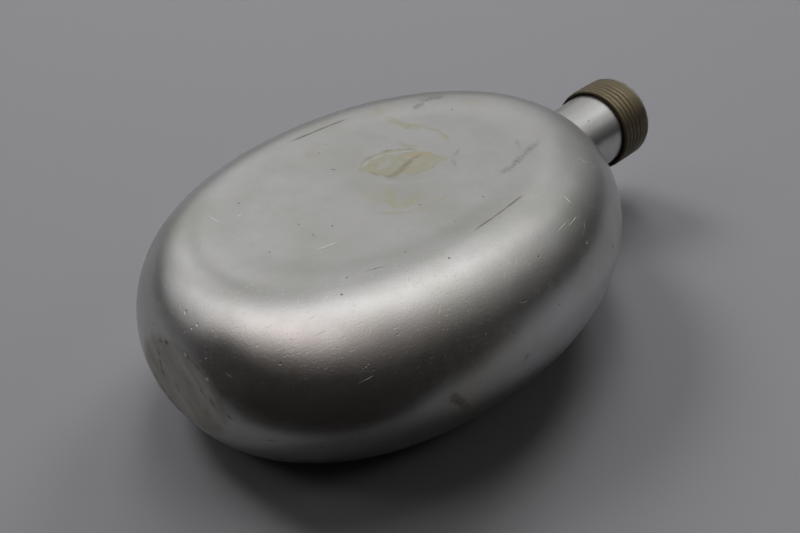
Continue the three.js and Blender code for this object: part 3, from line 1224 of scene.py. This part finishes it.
@dataclass
class ScrewCap(Part):
    """The cap: a skirt with its thread rolled in, which shows as ribs, and a rounded top."""

    start: float
    end: float
    radius: float
    thread: Thread
    sheet: float = 0.0007
    top: float = 0.0008
    rounding: float = 0.002
    rib_depth: float = 0.00024
    ribbed_length: float = 0.0102
    rib_fade: float = 0.0036
    thread_length: float = 0.0103
    thread_depth: float = 0.00065
    fade: float = 0.001
    top_hollow: float = 0.0002
    hollow_rim: tuple[float, float] = (0.06, 0.2)
    edge_length: float = 0.0017
    edge_turn: float = 0.00062
    mouth_radius: float = 0.01307
    mouth_length: float = 0.0009
    # Where the painted shade at the skirt's open edge ends.
    join_shade_from: float = 0.0001
    join_shade_to: float = 0.0007
    segments: int = 256
    rib_stations: int = 168
    thread_stations: int = 120
    ceiling_rings: int = 8
    inner_steps: int = 10
    outer_steps: int = 16
    top_rings: int = 30
    sharp_degrees: float = 60.0

    def threaded(self, place: float, angles: np.ndarray) -> np.ndarray:
        """Work out the inner radius, with its thread and its widened mouth.

        Args:
            place: The place along the neck.
            angles: The angles about the axis.

        Returns:
            The radius at each angle.
        """
        thread_end = self.start + self.thread_length
        faded = 1 - smooth_step(place, thread_end - self.fade, thread_end)
        depth = self.thread_depth * (1 - self.thread.wave(place, angles)) * faded
        past_mouth = smooth_step(place, self.start, self.start + self.mouth_length)
        return mix(self.mouth_radius, self.radius - self.sheet - depth, past_mouth)

    def ribbed(self, place: float, angles: np.ndarray) -> np.ndarray:
        """Work out the outer radius, whose ribs run out at the edge and below the smooth top.

        Args:
            place: The place along the neck.
            angles: The angles about the axis.

        Returns:
            The radius at each angle.
        """
        ribbed_end = self.start + self.ribbed_length
        faded = smooth_step(place, self.start, self.start + self.edge_length)
        faded = faded * (1 - smooth_step(place, ribbed_end - self.rib_fade, ribbed_end))
        edge = np.clip(1 - (place - self.start) / self.edge_length, 0, 1)
        turned_in = self.edge_turn * (1 - math.sqrt(1 - edge**2))
        return self.radius - turned_in - self.rib_depth * (1 - self.thread.ribbed(place, angles)) * faded

    def build(self) -> Piece:
        """Skin the cap from the inside of its top round the skirt to the outside.

        Returns:
            The cap.
        """
        ceiling = self.end - self.top
        inner_rounding = self.rounding - self.sheet
        inner_flat = self.radius - self.sheet - inner_rounding
        flat = self.radius - self.rounding
        thread_end = self.start + self.thread_length
        ribbed_end = self.start + self.ribbed_length
        profile = Profile(self.segments, self.axis_height)
        profile.ring(ceiling, 0)
        profile.discs(ceiling, np.linspace(0.15, 1, self.ceiling_rings) * inner_flat)
        profile.round(ceiling - inner_rounding, inner_flat, inner_rounding, 90, 0, self.inner_steps)
        profile.rings(np.linspace(thread_end, self.start, self.thread_stations), self.threaded)
        profile.rings(np.linspace(self.start, ribbed_end, self.rib_stations), self.ribbed)
        profile.round(self.end - self.rounding, flat, self.rounding, 0, 90, self.outer_steps)
        for share in np.linspace(0.97, 0.05, self.top_rings):
            hollow = self.top_hollow * smooth_step(1 - share, *self.hollow_rim)
            profile.ring(self.end - hollow, flat * share)
        profile.ring(self.end - self.top_hollow, 0)
        piece = skin(self.name, profile.points())
        piece.data.set_sharp_from_angle(angle=math.radians(self.sharp_degrees))
        return piece

    def dress(self, piece: Piece) -> None:
        """Give the cap its tarnished brass, worn pale round the top, with painted shade at its open edge
        and on its lower side.
        """
        ThreadedBrass(
            name="tarnished_cap_brass",
            crest=(0.19, 0.162, 0.10),
            groove=(0.095, 0.07, 0.042),
            worn=(0.66, 0.645, 0.58),
            thread=self.thread,
            thread_end=self.start + self.ribbed_length,
            thread_fade=self.rib_fade,
            axis_height=self.axis_height,
            worn_from=self.end - self.rounding * 1.3,
            worn_to=self.end - self.rounding * 0.5,
            worn_radius=self.radius - self.rounding,
            join_shade_from=self.start + self.join_shade_from,
            join_shade_to=self.start + self.join_shade_to,
            # Painted shade on the cap's side below the axis.
            low_side_shade=0.8,
        ).make(piece)


@dataclass
class SealingDisc(Part):
    """The rubber disc in the cap, with the lip's print on its face."""

    start: float
    end: float
    radius: float
    rounding: float = 0.00035
    print_radius: float = 0.0112
    print_width: float = 0.0012
    print_depth: float = 0.00015
    segments: int = 128
    face_rings: int = 60
    back_rings: int = 6
    edge_steps: int = 8

    def build(self) -> Piece:
        """Skin the disc from the middle of its face to the middle of its back.

        Returns:
            The disc.
        """
        flat = self.radius - self.rounding
        profile = Profile(self.segments, self.axis_height)
        profile.ring(self.start, 0)
        for radius in np.linspace(0.05, 1, self.face_rings) * flat:
            from_print = (radius - self.print_radius) / (self.print_width / 2)
            profile.ring(self.start + self.print_depth * math.exp(-(from_print**4)), radius)
        profile.round(self.start + self.rounding, flat, self.rounding, -90, 0, self.edge_steps)
        profile.round(self.end - self.rounding, flat, self.rounding, 0, 90, self.edge_steps)
        profile.discs(self.end, np.linspace(0.9, 0.1, self.back_rings) * flat)
        profile.ring(self.end, 0)
        return skin(self.name, profile.points())

    def dress(self, piece: Piece) -> None:
        """Give the disc its rubber."""
        SealRubber().make(piece)


@dataclass(frozen=True)
class PhotoCamera:
    """The camera of the photograph, as fitted to the bottle's outline. Angles are in degrees."""

    target: Point = (-0.0176, -0.00192, 0.02217)
    distance: float = 0.30198
    azimuth: float = 43.738
    elevation: float = 36.27
    roll: float = -0.721
    focal_pixels: float = 1058.1
    image_width_pixels: float = 800.0
    clip_start: float = 0.01

    def forward(self) -> Vector:
        """Work out which way the camera looks.

        Returns:
            A direction of length 1.
        """
        azimuth, elevation = math.radians(self.azimuth), math.radians(self.elevation)
        level = Vector((math.cos(azimuth), math.sin(azimuth), 0)) * math.cos(elevation)
        return level - Vector((0, 0, math.sin(elevation)))

    def place(self) -> None:
        """Put the camera in the scene."""
        forward = self.forward()
        level_right = forward.cross(Vector((0, 0, 1))).normalized()
        roll = math.radians(self.roll)
        right = math.cos(roll) * level_right + math.sin(roll) * level_right.cross(forward)
        data = bpy.data.cameras.new("photo_camera")
        data.lens = self.focal_pixels / self.image_width_pixels * data.sensor_width
        data.clip_start = self.clip_start
        camera = bpy.data.objects.new("photo_camera", data)
        turn = Matrix((right, right.cross(forward), -forward)).transposed().to_4x4()
        camera.matrix_world = Matrix.Translation(Vector(self.target) - forward * self.distance) @ turn
        bpy.context.scene.collection.objects.link(camera)
        bpy.context.scene.camera = camera


@dataclass(frozen=True)
class FloorLamp:
    """A round soft lamp that lights the floor, aimed at the bottle.

    The azimuth is in degrees to the left of the way in which the camera looks, the power in watts.
    """

    azimuth: float
    elevation: float
    distance: float
    size: float
    spread: float
    power: float
    tone: Colour

    def place(self, direction: Vector) -> None:
        """Put the lamp in the scene.

        Args:
            direction: The direction in which it lies from the bottle.
        """
        data = bpy.data.lights.new("floor_lamp", "AREA")
        data.shape = "DISK"
        data.size = self.size
        data.spread = math.radians(self.spread)
        data.energy = self.power
        data.color = self.tone
        lamp = bpy.data.objects.new("floor_lamp", data)
        lamp.location = direction * self.distance
        lamp.rotation_euler = direction.to_track_quat("Z", "Y").to_euler()
        lamp.visible_glossy = False
        bpy.context.scene.collection.objects.link(lamp)


@dataclass(frozen=True)
class StudioLight:
    """A soft studio, lit from beyond and over the bottle and dim on the camera's side.

    The metal mirrors a sky of soft round patches. They lie in rings: each ring has its elevation
    and the levels of its patches, evenly spaced leftwards from the way in which the camera looks.
    The lamps light the floor, and give the bottle its shadow.
    """

    camera: PhotoCamera
    rings: tuple[tuple[float, tuple[float, ...]], ...] = (
        (8, (0.24, 0.31, 0, 0, 0, 0, 0, 0, 0, 0, 0, 0.23)),
        (28, (0.33, 0.40, 0.52, 0.50, 0.02, 0.03, 0.05, 0.06, 0.07, 0.11, 0.16, 0.12)),
        (48, (0.34, 0.25, 0.29, 0.72, 0.62, 0.52, 0.17, 0.25, 0.41, 0.53)),
        (66, (0.08, 0.09, 0.27, 0.49, 0.42, 0.18, 0.47, 0.54)),
        (80, (0.16, 0.10, 0.30, 0.42)),
    )
    patch_angle: float = 26.0
    tone: Colour = (1.0, 0.997, 0.985)
    near_tone: Colour = (1.0, 0.90, 0.86)
    near_edge: tuple[float, float] = (-0.2, 0.8)
    lamps: tuple[FloorLamp, ...] = (
        FloorLamp(0, 22, 1.0, 0.3, 120, 0.22, (0.86, 0.89, 1.0)),
        FloorLamp(0, 50, 2.5, 0.9, 60, 1.15, (0.97, 0.97, 1.0)),
        FloorLamp(0, 70, 2.5, 1.0, 60, 0.80, (1.0, 0.98, 0.97)),
        FloorLamp(25, 35, 2.5, 0.9, 60, 0.38, (0.97, 0.97, 1.0)),
        FloorLamp(-25, 35, 2.5, 0.9, 60, 1.72, (0.97, 0.97, 1.0)),
        FloorLamp(50, 45, 2.5, 0.9, 60, 2.14, (0.98, 0.98, 1.0)),
        FloorLamp(90, 40, 2.5, 0.9, 60, 0.36, (1.0, 0.97, 0.95)),
        FloorLamp(-90, 40, 2.5, 0.9, 60, 0.26, (1.0, 0.97, 0.95)),
    )

    def direction(self, azimuth: float, elevation: float) -> Vector:
        """Turn angles given from the camera's own into a direction from the bottle.

        Args:
            azimuth: Degrees to the left of the way in which the camera looks.
            elevation: Degrees above the floor.

        Returns:
            A direction of length 1.
        """
        turn, rise = math.radians(self.camera.azimuth + azimuth), math.radians(elevation)
        level = Vector((math.cos(turn), math.sin(turn), 0)) * math.cos(rise)
        return level + Vector((0, 0, math.sin(rise)))

    def place(self) -> None:
        """Give the scene its sky, which only mirrors show, and its lamps."""
        world = bpy.data.worlds.new("studio")
        world.use_nodes = True
        bpy.context.scene.world = world
        world.cycles_visibility.diffuse = False
        graph = Graph(world.node_tree)
        direction = graph.add("ShaderNodeTexCoord").outputs["Generated"]
        edge = math.cos(math.radians(self.patch_angle))
        patches = []
        for elevation, levels in self.rings:
            for number, level in enumerate(levels):
                if level > 0:
                    towards = self.direction(360 * number / len(levels), elevation)
                    patches.append(graph.dot(direction, towards).rise(edge, 1.0) * level)
        near = graph.dot(direction, self.direction(180, 0)).rise(*self.near_edge)
        tone = graph.tint(near, self.tone, self.near_tone)
        colour = graph.tint(1.0, reduce(add, patches).socket, tone, "MULTIPLY")
        background = graph.add("ShaderNodeBackground", {}, {"Color": colour, "Strength": 1.0})
        graph.add("ShaderNodeOutputWorld", {}, {"Surface": background.outputs[0]})
        for lamp in self.lamps:
            lamp.place(self.direction(lamp.azimuth, lamp.elevation))


def staged_sheet(name: str, corners: Sequence[Vector], paint: StagePaint) -> Piece:
    """Make a flat painted sheet that belongs to the stage.

    Args:
        name: The sheet's name.
        corners: Its four corners, in order.
        paint: Its paint.

    Returns:
        The sheet.
    """
    mesh = bpy.data.meshes.new(name)
    mesh.from_pydata(corners, [], [(0, 1, 2, 3)])
    sheet = bpy.data.objects.new(name, mesh)
    bpy.context.scene.collection.objects.link(sheet)
    paint.make(sheet)
    return sheet


@dataclass(frozen=True)
class StudioFloor:
    """A plain pale floor under the bottle."""

    half_size: float = 40.0
    drop: float = 0.00005

    def place(self) -> None:
        """Put the floor in the scene."""
        turns = ((-1, -1), (1, -1), (1, 1), (-1, 1))
        corners = [Vector((x * self.half_size, y * self.half_size, -self.drop)) for x, y in turns]
        staged_sheet("floor", corners, StagePaint())


@dataclass(frozen=True)
class MirroredCard:
    """A black card that lies before the picture's lower edge, where only the metal mirrors it.

    It stands for the dark room that the photographed metal mirrors there.
    """

    camera: PhotoCamera
    start: float = 0.098
    end: float = 2.0
    half_width: float = 0.5
    lift: float = 0.0005
    colour: Colour = (0.012, 0.011, 0.010)

    def place(self) -> None:
        """Put the card in the scene."""
        forward = self.camera.forward()
        forward = Vector((forward.x, forward.y, 0)).normalized()
        right = forward.cross(Vector((0, 0, 1)))
        reaches = ((-1, self.start), (-1, self.end), (1, self.end), (1, self.start))
        corners = [right * (side * self.half_width) - forward * back for side, back in reaches]
        card = staged_sheet("mirrored_card", corners, StagePaint(self.colour))
        card.location.z = self.lift
        card.visible_camera = False
        card.visible_diffuse = False
        card.visible_shadow = False


def make_parts() -> list[Part]:
    """Make the bottle's parts, with the sizes that the frame gives.

    Returns:
        The parts, still to be built.
    """
    shell_low, shell_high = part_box("bottle_shell")
    ring_low, ring_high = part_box("threaded_neck_ring")
    cap_low, cap_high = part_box("screw_cap")
    disc_low, disc_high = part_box("cap_gasket")
    axis_height = (shell_low.z + shell_high.z) / 2
    thread = Thread(start=ring_low.x + FIRST_CREST)
    return [
        BottleShell(
            name="bottle_body",
            node="bottle_shell",
            body=Body.BOTTLE,
            finish=Finish.ALUMINIUM,
            axis_height=axis_height,
            foot=shell_low.x,
            lip_end=shell_high.x,
            seat_start=ring_low.x - TOUCH_GAP,
            ring_end=ring_high.x,
            width=shell_high.y - shell_low.y,
            thickness=shell_high.z - shell_low.z,
        ),
        ThreadedRing(
            name="neck_thread_ring",
            node="threaded_neck_ring",
            body=Body.BOTTLE,
            finish=Finish.RING_BRASS,
            axis_height=axis_height,
            start=ring_low.x,
            end=ring_high.x,
            thread=thread,
        ),
        ScrewCap(
            name="ribbed_screw_cap",
            node="screw_cap",
            body=Body.CAP,
            finish=Finish.CAP_BRASS,
            axis_height=axis_height,
            start=cap_low.x,
            end=cap_high.x,
            radius=(cap_high.y - cap_low.y) / 2,
            thread=thread,
        ),
        SealingDisc(
            name="sealing_disc",
            node="cap_gasket",
            body=Body.SEAL,
            finish=Finish.RUBBER,
            axis_height=axis_height,
            start=disc_low.x,
            end=disc_high.x,
            radius=(disc_high.y - disc_low.y) / 2,
        ),
    ]


def main() -> None:
    """Build the scene: camera, floor, light and the bottle's parts."""
    logging.basicConfig(level=logging.INFO, format="%(name)s: %(message)s")
    camera = PhotoCamera()
    camera.place()
    StudioFloor().place()
    MirroredCard(camera).place()
    StudioLight(camera).place()
    for part in make_parts():
        part.make()
    bpy.context.scene.view_settings.view_transform = "Standard"


if __name__ == "__main__":
    main()
